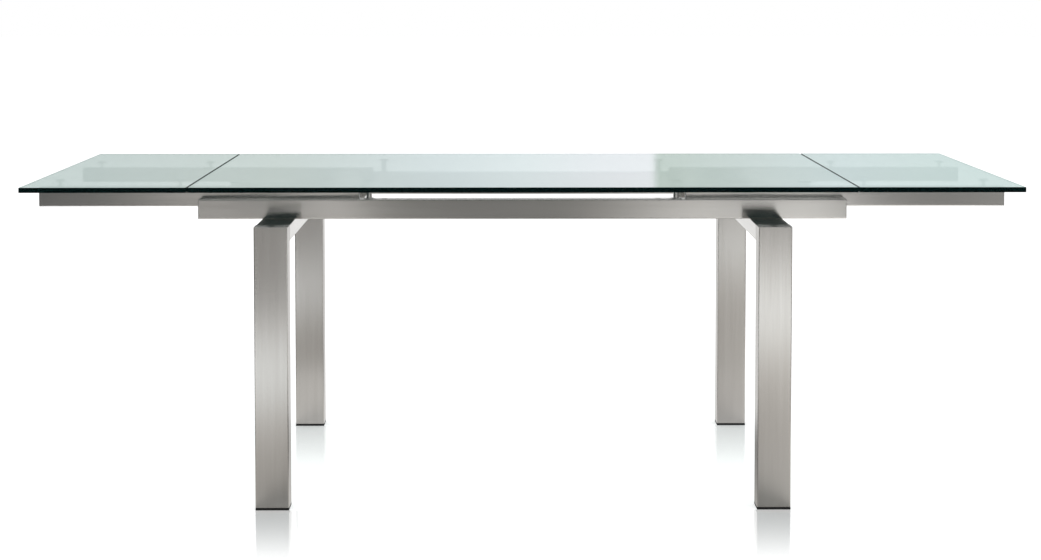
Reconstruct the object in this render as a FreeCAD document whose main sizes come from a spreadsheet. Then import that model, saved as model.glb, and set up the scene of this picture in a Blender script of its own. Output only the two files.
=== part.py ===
import FreeCAD, Part
import os
import Sketcher
from FreeCAD import Placement, Rotation, Vector

# Extending dining table: two portal leg frames carry two long beams, the beams carry a fixed
# centre glass on posts, and a pair of rails slides out of each end to hold a leaf glass.
#
# Millimetres. +X runs along the table, +Y towards the rear, +Z up. The origin is on the floor
# under the middle of the table. "left" is -X and "front" is -Y.

SIZES = [
    # top
    ("top_height", 751, "floor to the top of the glass"),
    ("table_depth", 900, "front to rear edge of every glass panel"),
    ("glass_thickness", 12, "all three glass panels"),
    ("glass_arris", 1, "polished chamfer round each glass edge"),
    ("centre_length", 1547, "fixed centre glass, and the two beams under it"),
    ("leaf_length", 385, "each leaf glass"),
    ("leaf_gap", 3, "between a leaf and the centre glass"),
    # leg frames
    ("leg_span", 1242, "outer face to outer face of the legs along X"),
    ("frame_depth", 914, "outer face to outer face of the legs along Y"),
    ("leg_width", 78, "leg and cross tube along X"),
    ("leg_depth", 52, "leg along Y"),
    ("leg_wall", 3, "leg and cross tube wall"),
    ("cross_height", 38, "cross tube joining a front and a rear leg"),
    ("edge_round", 2, "outer corner radius of every tube"),
    ("foot_height", 6, "visible part of the foot"),
    ("foot_plug_height", 14, "part of the foot inside the leg"),
    ("foot_plug_wall", 3, "wall of that plug"),
    ("fit_gap", 0.3, "play of a plug or cap inside its tube"),
    # beams
    ("beam_spread", 591, "outer face to outer face of the two beams"),
    ("beam_width", 38, "beam along Y"),
    ("beam_height", 47, "beam along Z"),
    ("beam_wall", 2.5, "beam wall"),
    ("cap_thickness", 2, "plates that close the ends of beams and rails"),
    # centre glass supports
    ("post_offset", 367, "centre posts from the middle of the table"),
    ("post_height", 32.5, "beam top to the underside of the glass"),
    ("post_diameter", 13.5, "centre post stem"),
    ("post_base_diameter", 27, "centre post base flange"),
    ("post_base_height", 1.5, "centre post base flange"),
    ("disc_diameter", 27, "steel disc bonded under the centre glass"),
    ("disc_height", 3, "the same disc"),
    ("post_stud_diameter", 8, "thread of the centre post in the beam"),
    ("post_stud_length", 12, "the same thread below the base flange"),
    # leaf rails
    ("rail_width", 26, "rail along Y"),
    ("rail_height", 37, "rail along Z"),
    ("rail_wall", 2, "rail and tie bar wall"),
    ("rail_meet_gap", 11, "between the left and right rails when both are pushed in"),
    ("seat_gap", 0.3, "running gap over the leaf pads, under the glass"),
    ("leaf_post_height", 15, "rail top to the underside of the pad"),
    ("leaf_disc_diameter", 24, "steel disc on top of a leaf post"),
    ("leaf_disc_height", 2.5, "the same disc"),
    ("leaf_post_diameter", 7, "leaf post stem"),
    ("leaf_base_diameter", 12, "leaf post base flange"),
    ("leaf_base_height", 1.5, "the same flange"),
    ("leaf_stud_diameter", 5, "thread of the leaf post in the rail"),
    ("leaf_stud_length", 8, "the same thread below the base flange"),
    ("pad_diameter", 20, "soft pad on a leaf post"),
    ("pad_height", 1.5, "the same pad"),
    ("pad_inset", 48, "leaf posts from the leaf's edges along X"),
    ("tie_width", 25, "tie bar joining a front and a rear rail, along X"),
    ("tie_height", 12, "the same bar along Z"),
    ("tie_drop", 15, "rail underside to the top of the tie bar"),
    ("tie_inset", 12, "tie bar from the inner end of its rails"),
    ("hanger_thickness", 4, "plates that hold a tie bar under its rails"),
    ("hanger_overlap", 28, "part of a hanger that lies on its rail"),
    # guides that the rails run on, and their brackets on the beams
    ("rail_beam_gap", 5, "between a rail and its beam"),
    ("rail_slot", 10, "slot along the underside of a rail"),
    ("guide_play", 0.4, "running gap between a rail and its guide"),
    ("guide_length", 30, "guide shoe and bracket along the rail"),
    ("guide_head_width", 20, "part of the shoe inside the rail"),
    ("guide_head_height", 10, "the same part"),
    ("guide_base_width", 24, "part of the shoe that the rail rests on"),
    ("guide_base_height", 3, "the same part"),
    ("stop_gap", 0.5, "end cap of a rail to the guide it stops at"),
    ("bracket_thickness", 3, "angle bracket under a guide"),
    ("bracket_height", 20, "its leg on the beam"),
    ("bracket_reach", 30, "its leg under the rail"),
    ("guide_screw_pitch", 16, "two screws in a row"),
    ("guide_screw_diameter", 4, "countersunk screw"),
    ("guide_screw_head", 8, "its head across"),
    ("guide_screw_head_height", 2.2, "its countersink"),
    ("guide_screw_length", 11, "its length over all"),
    # bolts between the leg frames and the beams
    ("bolt_pitch", 44, "two bolts at each crossing"),
    ("bolt_diameter", 8, "socket head bolt"),
    ("bolt_head_diameter", 13, "its head across"),
    ("bolt_head_height", 8, "its head"),
    ("bolt_length", 16, "its shank"),
    ("nut_diameter", 13, "round nut inside the beam"),
    ("nut_height", 6.5, "the same nut"),
    ("bolt_play", 0.25, "bolt in its hole, on the radius"),
    ("thread_play", 0.05, "thread in its nut, on the radius"),
    ("access_diameter", 17, "hole under each bolt for the key"),
]


class Size:
    """A length that knows its number and the spreadsheet expression that gives it."""

    def __init__(self, text, value):
        self.text = text
        self.value = value

    def __add__(self, other):
        other = as_size(other)
        return Size(f"({self.text} + {other.text})", self.value + other.value)

    def __sub__(self, other):
        other = as_size(other)
        return Size(f"({self.text} - {other.text})", self.value - other.value)

    def __mul__(self, factor):
        return Size(f"({self.text} * {factor})", self.value * factor)

    def __truediv__(self, divisor):
        return Size(f"({self.text} / {divisor})", self.value / divisor)

    def __neg__(self):
        return Size(f"(0 - {self.text})", -self.value)


def as_size(number):
    """Plain numbers may stand beside sizes in a sum."""
    if isinstance(number, Size):
        return number
    return Size(str(number), number)


doc = FreeCAD.newDocument("extending_dining_table")
sheet = doc.addObject("Spreadsheet::Sheet", "dims")


def fill_sheet():
    """Write every driving size to the sheet, and return them by name."""
    named = {}
    for row, (name, value, note) in enumerate(SIZES, start=1):
        sheet.set(f"A{row}", name)
        sheet.set(f"B{row}", str(value))
        sheet.set(f"C{row}", note)
        sheet.setAlias(f"B{row}", name)
        named[name] = Size(f"dims.{name}", value)
    doc.recompute()
    return named


size = fill_sheet()
ZERO = as_size(0)

# ---------------------------------------------------------------------------------------------
# Sizes and places that follow from the sheet

table_length = size["centre_length"] + (size["leaf_gap"] + size["leaf_length"]) * 2
glass_bottom = size["top_height"] - size["glass_thickness"]
beam_top = glass_bottom - size["post_height"]
beam_bottom = beam_top - size["beam_height"]
beam_outer = size["beam_spread"] / 2
beam_inner = beam_outer - size["beam_width"]
beam_middle = beam_outer - size["beam_width"] / 2
leg_top = beam_bottom
leg_outer = size["leg_span"] / 2
leg_middle = leg_outer - size["leg_width"] / 2
frame_outer = size["frame_depth"] / 2
frame_inner = frame_outer - size["leg_depth"]
rail_outer = beam_inner - size["rail_beam_gap"]
rail_inner = rail_outer - size["rail_width"]
rail_middle = rail_outer - size["rail_width"] / 2
rail_top = glass_bottom - size["seat_gap"] - size["pad_height"] - size["leaf_post_height"]
rail_bottom = rail_top - size["rail_height"]
rail_travel = size["leaf_length"] + size["leaf_gap"]
rail_start = rail_travel + size["rail_meet_gap"] / 2
rail_end = table_length / 2
rail_length = rail_end - rail_start
leaf_start = size["centre_length"] / 2 + size["leaf_gap"]
tie_start = rail_start + size["tie_inset"]
tie_top = rail_bottom - size["tie_drop"]
tie_bottom = tie_top - size["tie_height"]
tie_end = rail_inner - size["hanger_thickness"]
guide_inner_start = rail_start + size["cap_thickness"] + size["stop_gap"]
guide_outer_start = (rail_end - rail_travel - size["cap_thickness"] - size["stop_gap"]
                     - size["guide_length"])
guide_bottom = rail_bottom - size["guide_play"] - size["guide_base_height"]
bracket_bottom = guide_bottom - size["bracket_height"]
bracket_screw_z = bracket_bottom + (size["bracket_height"] - size["bracket_thickness"]) / 2

SIDES = {"left": -1, "right": 1}
ENDS = {"front": -1, "rear": 1}
GUIDE_STARTS = {"inner": guide_inner_start, "outer": guide_outer_start}
LEAF_POST_SPOTS = {
    "inner": leaf_start + size["pad_inset"],
    "outer": rail_end - size["pad_inset"],
}

# Local axes of a piece that is drawn in XY and padded along Z, once it is placed
ALONG_X = Rotation(Vector(0, 1, 0), Vector(0, 0, 1), Vector(1, 0, 0), "XYZ")
AGAINST_X = Rotation(Vector(0, -1, 0), Vector(0, 0, 1), Vector(-1, 0, 0), "XYZ")
ALONG_Y = Rotation(Vector(-1, 0, 0), Vector(0, 0, 1), Vector(0, 1, 0), "XYZ")
UPRIGHT = Rotation()

nodes = []

# ---------------------------------------------------------------------------------------------
# Shared ways to make a feature


def bind(thing, name, length):
    """Tie one property to the sheet."""
    thing.setExpression(name, length.text)


def place(thing, x, y, z, rotation=UPRIGHT):
    """Put a piece or a tool where three sizes say."""
    thing.Placement = Placement(Vector(x.value, y.value, z.value), rotation)
    bind(thing, "Placement.Base.x", x)
    bind(thing, "Placement.Base.y", y)
    bind(thing, "Placement.Base.z", z)


def new_body(label):
    """A PartDesign body that becomes one node."""
    body = doc.addObject("PartDesign::Body", label)
    body.Label = label
    nodes.append(body)
    return body


def new_sketch(body, role):
    """A sketch on one of the body's own origin planes."""
    sketch = body.newObject("Sketcher::SketchObject", body.Name + "_sketch")
    plane = next(f for f in body.Origin.OriginFeatures if f.Role == role)
    sketch.AttachmentSupport = [(plane, "")]
    sketch.MapMode = "FlatFace"
    return sketch


def fix_point(sketch, line, x, y):
    """Hold the first point of a line at (x, y) from the sketch's origin."""
    for kind, length, axis in (("DistanceX", x, -2), ("DistanceY", y, -1)):
        if length.value == 0:
            sketch.addConstraint(Sketcher.Constraint("PointOnObject", line, 1, axis))
            continue
        index = sketch.addConstraint(
            Sketcher.Constraint(kind, -1, 1, line, 1, length.value))
        bind(sketch, f"Constraints[{index}]", length)


def draw_polygon(sketch, points):
    """Closed outline through points given as pairs of sizes, none of them negative."""
    corners = [Vector(x.value, y.value, 0) for x, y in points]
    lines = []
    for start, end in zip(corners, corners[1:] + corners[:1]):
        lines.append(sketch.addGeometry(Part.LineSegment(start, end), False))
    for line, following in zip(lines, lines[1:] + lines[:1]):
        sketch.addConstraint(Sketcher.Constraint("Coincident", line, 2, following, 1))
    for line, (x, y) in zip(lines, points):
        fix_point(sketch, line, x, y)


def draw_rectangle(sketch, width, height, border=ZERO):
    """Rectangle of the given outer size, drawn a border's width inside it."""
    right = width - border
    top = height - border
    draw_polygon(sketch, [(border, border), (right, border), (right, top), (border, top)])


def pad(body, sketch, length):
    """Extrude a sketch of the body along its normal."""
    feature = body.newObject("PartDesign::Pad", body.Name + "_pad")
    feature.Profile = sketch
    feature.Length = length.value
    bind(feature, "Length", length)
    doc.recompute()
    return feature


def round_long_edges(body, base, width, height, radius):
    """Fillet the four outer edges that run along the padded length."""
    picked = []
    for number, edge in enumerate(base.Shape.Edges, start=1):
        ends = [v.Point for v in edge.Vertexes]
        upright = len(ends) == 2 and abs(ends[0].z - ends[1].z) > 1e-6
        at_side = min(abs(ends[0].x), abs(ends[0].x - width.value)) < 1e-6
        at_face = min(abs(ends[0].y), abs(ends[0].y - height.value)) < 1e-6
        if upright and at_side and at_face:
            picked.append(f"Edge{number}")
    fillet = body.newObject("PartDesign::Fillet", body.Name + "_round")
    fillet.Base = (base, picked)
    fillet.Radius = radius.value
    bind(fillet, "Radius", radius)
    doc.recompute()


def cut_away(body, kind, rotation, x, y, z, lengths):
    """Take a primitive out of a body, and stop if it removes nothing."""
    before = body.Shape.Volume
    tool = body.newObject("PartDesign::Subtractive" + kind, body.Name + "_cut")
    for name, length in lengths.items():
        setattr(tool, name, length.value)
        bind(tool, name, length)
    place(tool, x, y, z, rotation)
    doc.recompute()
    if body.Shape.Volume > before - 1e-3:
        raise RuntimeError(f"a cut in {body.Label} removed nothing")


def drill(body, rotation, x, y, z, diameter, depth):
    """Round hole from (x, y, z) along the rotated Z axis, in the body's own axes."""
    cut_away(body, "Cylinder", rotation, x, y, z, {"Radius": diameter / 2, "Height": depth})


def tube(label, width, height, length, wall):
    """Rectangular tube, padded along its own Z from a corner at the origin."""
    body = new_body(label)
    sketch = new_sketch(body, "XY_Plane")
    draw_rectangle(sketch, width, height)
    draw_rectangle(sketch, width, height, wall)
    shell = pad(body, sketch, length)
    round_long_edges(body, shell, width, height, size["edge_round"])
    return body


def turned(label, outline):
    """Round piece, revolved about its own Z from a half outline."""
    body = new_body(label)
    sketch = new_sketch(body, "XZ_Plane")
    draw_polygon(sketch, outline)
    feature = body.newObject("PartDesign::Revolution", label + "_turn")
    feature.Profile = sketch
    feature.ReferenceAxis = (sketch, ["V_Axis"])
    feature.Angle = 360
    doc.recompute()
    return body


def mirrored(sign, near, extent):
    """Low coordinate of a piece that lies from near to near + extent on one side."""
    if sign > 0:
        return near
    return -(near + extent)


def group(label, solids):
    """One node that holds several separate solids."""
    compound = doc.addObject("Part::Compound", label)
    compound.Label = label
    compound.Links = solids
    nodes.append(compound)


def cylinder(name, diameter, height, x, y, z, rotation=UPRIGHT):
    """Part cylinder bound to the sheet."""
    solid = doc.addObject("Part::Cylinder", name)
    bind(solid, "Radius", diameter / 2)
    bind(solid, "Height", height)
    place(solid, x, y, z, rotation)
    return solid


def joined(name, solids):
    """Fuse primitives to one solid."""
    fusion = doc.addObject("Part::MultiFuse", name)
    fusion.Shapes = solids
    return fusion


# ---------------------------------------------------------------------------------------------
# Glass


def glass_panel(label, length, x):
    """Panel with a polished arris on every edge."""
    body = new_body(label)
    sketch = new_sketch(body, "XY_Plane")
    draw_rectangle(sketch, length, size["table_depth"])
    slab = pad(body, sketch, size["glass_thickness"])
    arris = body.newObject("PartDesign::Chamfer", label + "_arris")
    arris.Base = (slab, [f"Edge{n}" for n in range(1, len(slab.Shape.Edges) + 1)])
    arris.Size = size["glass_arris"].value
    bind(arris, "Size", size["glass_arris"])
    place(body, x, -size["table_depth"] / 2, glass_bottom)


def make_glass():
    glass_panel("centre_glass", size["centre_length"], -size["centre_length"] / 2)
    for side, sign in SIDES.items():
        start = mirrored(sign, leaf_start, size["leaf_length"])
        glass_panel(f"{side}_leaf_glass", size["leaf_length"], start)


# ---------------------------------------------------------------------------------------------
# Leg frames


def make_leg(label, x_sign, y_sign):
    """Leg of rectangular tube, closed at the top by its own end wall."""
    body = new_body(label)
    width = size["leg_width"]
    depth = size["leg_depth"]
    wall = size["leg_wall"]
    height = leg_top - size["foot_height"]
    sketch = new_sketch(body, "XY_Plane")
    draw_rectangle(sketch, width, depth)
    block = pad(body, sketch, height)
    round_long_edges(body, block, width, depth, size["edge_round"])
    cut_away(body, "Box", UPRIGHT, wall, wall, ZERO,
             {"Length": width - wall * 2, "Width": depth - wall * 2, "Height": height - wall})
    place(body, mirrored(x_sign, leg_outer - width, width),
          mirrored(y_sign, frame_inner, depth), size["foot_height"])


def make_foot(label, x_sign, y_sign):
    """Glide under a leg, with a hollow plug that holds it in the tube."""
    width = size["leg_width"]
    depth = size["leg_depth"]
    inset = size["leg_wall"] + size["fit_gap"]
    body = new_body(label)
    sketch = new_sketch(body, "XY_Plane")
    draw_rectangle(sketch, width, depth)
    block = pad(body, sketch, size["foot_height"] + size["foot_plug_height"])
    round_long_edges(body, block, width, depth, size["edge_round"])
    shoulder = size["foot_height"]
    rise = size["foot_plug_height"]
    for x in (ZERO, width - inset):
        cut_away(body, "Box", UPRIGHT, x, ZERO, shoulder,
                 {"Length": inset, "Width": depth, "Height": rise})
    for y in (ZERO, depth - inset):
        cut_away(body, "Box", UPRIGHT, ZERO, y, shoulder,
                 {"Length": width, "Width": inset, "Height": rise})
    hollow = inset + size["foot_plug_wall"]
    cut_away(body, "Box", UPRIGHT, hollow, hollow, shoulder,
             {"Length": width - hollow * 2, "Width": depth - hollow * 2, "Height": rise})
    place(body, mirrored(x_sign, leg_outer - width, width),
          mirrored(y_sign, frame_inner, depth), ZERO)


def bolt_spots(x_sign):
    """Where the bolts stand along X on one leg frame."""
    middle = leg_middle * x_sign
    return [middle - size["bolt_pitch"] / 2, middle + size["bolt_pitch"] / 2]


def make_cross_tube(side, x_sign):
    """Tube between a front and a rear leg, flush with their tops, that carries both beams."""
    width = size["leg_width"]
    height = size["cross_height"]
    wall = size["leg_wall"]
    body = tube(f"{side}_cross_tube", width, height, frame_inner * 2, wall)
    hole = size["bolt_diameter"] + size["bolt_play"] * 2
    # in the body's own axes the pad runs along Z, X points back across the table, Y is up
    up = Rotation(Vector(1, 0, 0), -90)
    for spot in (width / 2 - size["bolt_pitch"] / 2, width / 2 + size["bolt_pitch"] / 2):
        for y_sign in ENDS.values():
            along = frame_inner + beam_middle * y_sign
            drill(body, up, spot, height - wall * 2, along, hole, wall * 3)
            drill(body, up, spot, -wall, along, size["access_diameter"], wall * 3)
    low = mirrored(x_sign, leg_outer - width, width)
    place(body, low + width, -frame_inner, leg_top - height, ALONG_Y)


def make_leg_frames():
    for side, x_sign in SIDES.items():
        for end, y_sign in ENDS.items():
            make_leg(f"{end}_{side}_leg", x_sign, y_sign)
            make_foot(f"{end}_{side}_foot", x_sign, y_sign)
        make_cross_tube(side, x_sign)


# ---------------------------------------------------------------------------------------------
# Beams


def end_caps(label, width, height, wall, x_low, x_high, y, z):
    """Two plates set into the ends of a tube that runs along X."""
    inset = wall + size["fit_gap"]
    plates = []
    for name, x in (("low", x_low), ("high", x_high - size["cap_thickness"])):
        cap = doc.addObject("Part::Box", f"{label}_{name}")
        bind(cap, "Length", size["cap_thickness"])
        bind(cap, "Width", width - inset * 2)
        bind(cap, "Height", height - inset * 2)
        place(cap, x, y + inset, z + inset)
        plates.append(cap)
    group(label, plates)


def make_beam(end, y_sign):
    """Long beam with holes for frame bolts, centre posts and guide screws."""
    width = size["beam_width"]
    height = size["beam_height"]
    wall = size["beam_wall"]
    length = size["centre_length"]
    body = tube(f"{end}_beam", width, height, length, wall)
    # in the body's own axes the pad runs along Z, X is across the beam and Y is up
    up = Rotation(Vector(1, 0, 0), -90)
    across = Rotation(Vector(0, 1, 0), 90)
    bolt_hole = size["bolt_diameter"] + size["bolt_play"] * 2
    stud_hole = size["post_stud_diameter"] + size["thread_play"] * 2
    screw_hole = size["guide_screw_diameter"] + size["thread_play"] * 2
    for x_sign in SIDES.values():
        for spot in bolt_spots(x_sign):
            drill(body, up, width / 2, -wall, spot + length / 2, bolt_hole, wall * 3)
        post = length / 2 + size["post_offset"] * x_sign
        drill(body, up, width / 2, height - wall * 2, post, stud_hole, wall * 3)
        inner_face = width - wall * 2 if y_sign < 0 else -wall
        for start in GUIDE_STARTS.values():
            for spot in guide_screw_spots(start, x_sign):
                drill(body, across, inner_face, bracket_screw_z - beam_bottom,
                      spot + length / 2, screw_hole, wall * 3)
    low = mirrored(y_sign, beam_inner, width)
    place(body, -length / 2, low, beam_bottom, ALONG_X)
    end_caps(f"{end}_beam_end_caps", width, height, wall, -length / 2, length / 2,
             low, beam_bottom)


def make_frame_bolts():
    """Bolts from inside the cross tubes up into round nuts in the beams."""
    bolts = []
    nuts = []
    seat = leg_top - size["leg_wall"]
    nut_bottom = beam_bottom + size["beam_wall"]
    for x_sign in SIDES.values():
        for x in bolt_spots(x_sign):
            for y_sign in ENDS.values():
                y = beam_middle * y_sign
                head = cylinder("bolt_head", size["bolt_head_diameter"],
                                size["bolt_head_height"], x, y,
                                seat - size["bolt_head_height"])
                shank = cylinder("bolt_shank", size["bolt_diameter"], size["bolt_length"],
                                 x, y, seat)
                bolts.append(joined("frame_bolt", [head, shank]))
                disc = cylinder("nut_blank", size["nut_diameter"], size["nut_height"],
                                x, y, nut_bottom)
                bore = cylinder("nut_bore", size["bolt_diameter"] + size["thread_play"] * 2,
                                size["nut_height"], x, y, nut_bottom)
                nut = doc.addObject("Part::Cut", "frame_nut")
                nut.Base = disc
                nut.Tool = bore
                nuts.append(nut)
    group("frame_bolts", bolts)
    group("frame_nuts", nuts)


def make_centre_supports():
    """Posts that stand on the beams, and the discs bonded under the centre glass."""
    stud = size["post_stud_diameter"] / 2
    base = size["post_base_diameter"] / 2
    stem = size["post_diameter"] / 2
    below = size["post_stud_length"]
    flange_top = below + size["post_base_height"]
    top = below + size["post_height"] - size["disc_height"]
    outline = [(ZERO, ZERO), (stud, ZERO), (stud, below), (base, below), (base, flange_top),
               (stem, flange_top), (stem, top), (ZERO, top)]
    discs = []
    for side, x_sign in SIDES.items():
        for end, y_sign in ENDS.items():
            x = size["post_offset"] * x_sign
            y = beam_middle * y_sign
            body = turned(f"{end}_{side}_centre_post", outline)
            place(body, x, y, beam_top - below)
            discs.append(cylinder("bond_disc", size["disc_diameter"], size["disc_height"],
                                  x, y, glass_bottom - size["disc_height"]))
    group("centre_bond_discs", discs)


# ---------------------------------------------------------------------------------------------
# Leaf rails


def make_rail(side, x_sign, end, y_sign):
    """Rail that slides in two guides, with threaded holes for its leaf posts."""
    width = size["rail_width"]
    height = size["rail_height"]
    wall = size["rail_wall"]
    label = f"{side}_{end}_rail"
    body = tube(label, width, height, rail_length, wall)
    up = Rotation(Vector(1, 0, 0), -90)
    low_x = mirrored(x_sign, rail_start, rail_length)
    cut_away(body, "Box", UPRIGHT, (width - size["rail_slot"]) / 2, -wall, ZERO,
             {"Length": size["rail_slot"], "Width": wall * 3, "Height": rail_length})
    for spot in LEAF_POST_SPOTS.values():
        drill(body, up, width / 2, height - wall * 2, spot * x_sign - low_x,
              size["leaf_stud_diameter"] + size["thread_play"] * 2, wall * 3)
    low_y = mirrored(y_sign, rail_inner, width)
    place(body, low_x, low_y, rail_bottom, ALONG_X)
    end_caps(f"{label}_end_caps", width, height, wall, low_x, low_x + rail_length,
             low_y, rail_bottom)


def make_leaf_post(label, x, y):
    """Short post screwed into the top of a rail."""
    stud = size["leaf_stud_diameter"] / 2
    base = size["leaf_base_diameter"] / 2
    stem = size["leaf_post_diameter"] / 2
    below = size["leaf_stud_length"]
    flange_top = below + size["leaf_base_height"]
    top = below + size["leaf_post_height"] - size["leaf_disc_height"]
    body = turned(label, [
        (ZERO, ZERO), (stud, ZERO), (stud, below), (base, below), (base, flange_top),
        (stem, flange_top), (stem, top), (ZERO, top)])
    place(body, x, y, rail_top - below)


def make_tie(side, x_sign):
    """Bar below a front and a rear rail, and the two plates that hang it from them."""
    low_x = mirrored(x_sign, tie_start, size["tie_width"])
    bar = tube(f"{side}_tie_bar", size["tie_width"], size["tie_height"], tie_end * 2,
               size["rail_wall"])
    place(bar, low_x + size["tie_width"], -tie_end, tie_bottom, ALONG_Y)
    hangers = []
    for y_sign in ENDS.values():
        hanger = doc.addObject("Part::Box", "tie_hanger")
        bind(hanger, "Length", size["tie_width"])
        bind(hanger, "Width", size["hanger_thickness"])
        bind(hanger, "Height", size["tie_height"] + size["tie_drop"] + size["hanger_overlap"])
        low_y = mirrored(y_sign, tie_end, size["hanger_thickness"])
        place(hanger, low_x, low_y, tie_bottom)
        hangers.append(hanger)
    group(f"{side}_tie_hangers", hangers)


def make_leaf_support(side, x_sign):
    """Front and rear rail of one leaf with their posts, discs and pads, and the tie."""
    discs = []
    pads = []
    pad_bottom = rail_top + size["leaf_post_height"]
    for end, y_sign in ENDS.items():
        make_rail(side, x_sign, end, y_sign)
        for spot_name, spot in LEAF_POST_SPOTS.items():
            x = spot * x_sign
            y = rail_middle * y_sign
            make_leaf_post(f"{side}_{end}_{spot_name}_leaf_post", x, y)
            discs.append(cylinder("leaf_disc", size["leaf_disc_diameter"],
                                  size["leaf_disc_height"], x, y,
                                  pad_bottom - size["leaf_disc_height"]))
            pads.append(cylinder("leaf_pad", size["pad_diameter"], size["pad_height"],
                                 x, y, pad_bottom))
    group(f"{side}_leaf_discs", discs)
    group(f"{side}_leaf_pads", pads)
    make_tie(side, x_sign)


# ---------------------------------------------------------------------------------------------
# Guides and their brackets


def guide_screw_spots(start, x_sign):
    """Where the two screws of a guide stand along X."""
    middle = (start + size["guide_length"] / 2) * x_sign
    return [middle - size["guide_screw_pitch"] / 2, middle + size["guide_screw_pitch"] / 2]


def guide_outline():
    """Base under the rail, neck through its slot and head inside it."""
    width = size["guide_base_width"]
    middle = width / 2
    neck = size["rail_slot"] / 2 - size["guide_play"]
    head = size["guide_head_width"] / 2
    base_top = size["guide_base_height"]
    head_bottom = base_top + size["guide_play"] * 2 + size["rail_wall"]
    head_top = head_bottom + size["guide_head_height"]
    return [(ZERO, ZERO), (width, ZERO), (width, base_top), (middle + neck, base_top),
            (middle + neck, head_bottom), (middle + head, head_bottom),
            (middle + head, head_top), (middle - head, head_top),
            (middle - head, head_bottom), (middle - neck, head_bottom),
            (middle - neck, base_top), (ZERO, base_top)]


def make_guide(label, start, x_sign, y_sign):
    """Low-friction shoe that a rail runs on and hooks under."""
    width = size["guide_base_width"]
    body = new_body(label)
    sketch = new_sketch(body, "XY_Plane")
    draw_polygon(sketch, guide_outline())
    pad(body, sketch, size["guide_length"])
    low_x = mirrored(x_sign, start, size["guide_length"])
    up = Rotation(Vector(1, 0, 0), -90)
    hole = size["guide_screw_diameter"] + size["thread_play"] * 2
    for spot in guide_screw_spots(start, x_sign):
        drill(body, up, width / 2, ZERO, spot - low_x, hole, size["guide_screw_length"])
    low_y = mirrored(y_sign, rail_middle - width / 2, width)
    place(body, low_x, low_y, guide_bottom, ALONG_X)


def make_bracket(start, x_sign, y_sign):
    """Angle that carries a guide, with countersunk holes in both legs."""
    thick = size["bracket_thickness"]
    reach = size["bracket_reach"]
    height = size["bracket_height"]
    length = size["guide_length"]
    body = doc.addObject("PartDesign::Body", "guide_bracket")
    sketch = new_sketch(body, "XY_Plane")
    draw_polygon(sketch, [(ZERO, ZERO), (thick, ZERO), (thick, height - thick),
                          (reach, height - thick), (reach, height), (ZERO, height)])
    pad(body, sketch, length)
    to_beam = Rotation(Vector(0, 1, 0), -90)
    to_guide = Rotation(Vector(1, 0, 0), -90)
    hole = size["guide_screw_diameter"] + size["thread_play"] * 2
    cone = {"Radius1": size["guide_screw_head"] / 2 + size["thread_play"],
            "Radius2": hole / 2, "Height": size["guide_screw_head_height"]}
    screw_y = bracket_screw_z - bracket_bottom
    screw_x = beam_inner - rail_middle
    for step in (-size["guide_screw_pitch"] / 2, size["guide_screw_pitch"] / 2):
        along = length / 2 + step
        cut_away(body, "Cone", to_beam, thick, screw_y, along, cone)
        drill(body, to_beam, thick, screw_y, along, hole, thick)
        cut_away(body, "Cone", to_guide, screw_x, height - thick, along, cone)
        drill(body, to_guide, screw_x, height - thick, along, hole, thick)
    low_x = mirrored(x_sign, start, length)
    if y_sign < 0:
        place(body, low_x, -beam_inner, bracket_bottom, ALONG_X)
    else:
        place(body, low_x + length, beam_inner, bracket_bottom, AGAINST_X)
    return body


def guide_screw(x, y, z, direction):
    """Countersunk screw with the top of its head at the given place."""
    head = doc.addObject("Part::Cone", "screw_head")
    bind(head, "Radius1", size["guide_screw_head"] / 2)
    bind(head, "Radius2", size["guide_screw_diameter"] / 2)
    bind(head, "Height", size["guide_screw_head_height"])
    place(head, x, y, z, direction)
    shank = cylinder("screw_shank", size["guide_screw_diameter"],
                     size["guide_screw_length"], x, y, z, direction)
    return joined("guide_screw", [head, shank])


def make_guide_screws():
    """Screws from the brackets into the beams, and up into the guides."""
    screws = []
    at_beam = beam_inner - size["bracket_thickness"]
    under_guide = guide_bottom - size["bracket_thickness"]
    for x_sign in SIDES.values():
        for y_sign in ENDS.values():
            outward = Rotation(Vector(1, 0, 0), 90 if y_sign < 0 else -90)
            for start in GUIDE_STARTS.values():
                for x in guide_screw_spots(start, x_sign):
                    screws.append(guide_screw(x, at_beam * y_sign, bracket_screw_z, outward))
                    screws.append(guide_screw(x, rail_middle * y_sign, under_guide, UPRIGHT))
    group("guide_screws", screws)


def make_guides():
    for side, x_sign in SIDES.items():
        brackets = []
        for end, y_sign in ENDS.items():
            for name, start in GUIDE_STARTS.items():
                make_guide(f"{side}_{end}_{name}_guide", start, x_sign, y_sign)
                brackets.append(make_bracket(start, x_sign, y_sign))
        group(f"{side}_guide_brackets", brackets)
    make_guide_screws()


# ---------------------------------------------------------------------------------------------
# Build, check and write


def check_document():
    """Stop on any feature that failed, and on any node without a sound shape."""
    for thing in doc.Objects:
        if "Invalid" in thing.State or "Error" in thing.State:
            raise RuntimeError(f"{thing.Label} failed: {thing.State}")
    for node in nodes:
        if node.Shape.isNull() or not node.Shape.isValid() or not node.Shape.Solids:
            raise RuntimeError(f"{node.Label} has no sound shape")


def write_parts():
    os.makedirs("parts", exist_ok=True)
    for node in nodes:
        node.Shape.exportStep(f"parts/{node.Label}.step")
        box = node.Shape.BoundBox
        print(f"{node.Label}: {len(node.Shape.Solids)} solids, "
              f"X {box.XMin:.1f}..{box.XMax:.1f}, Y {box.YMin:.1f}..{box.YMax:.1f}, "
              f"Z {box.ZMin:.1f}..{box.ZMax:.1f}")


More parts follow.
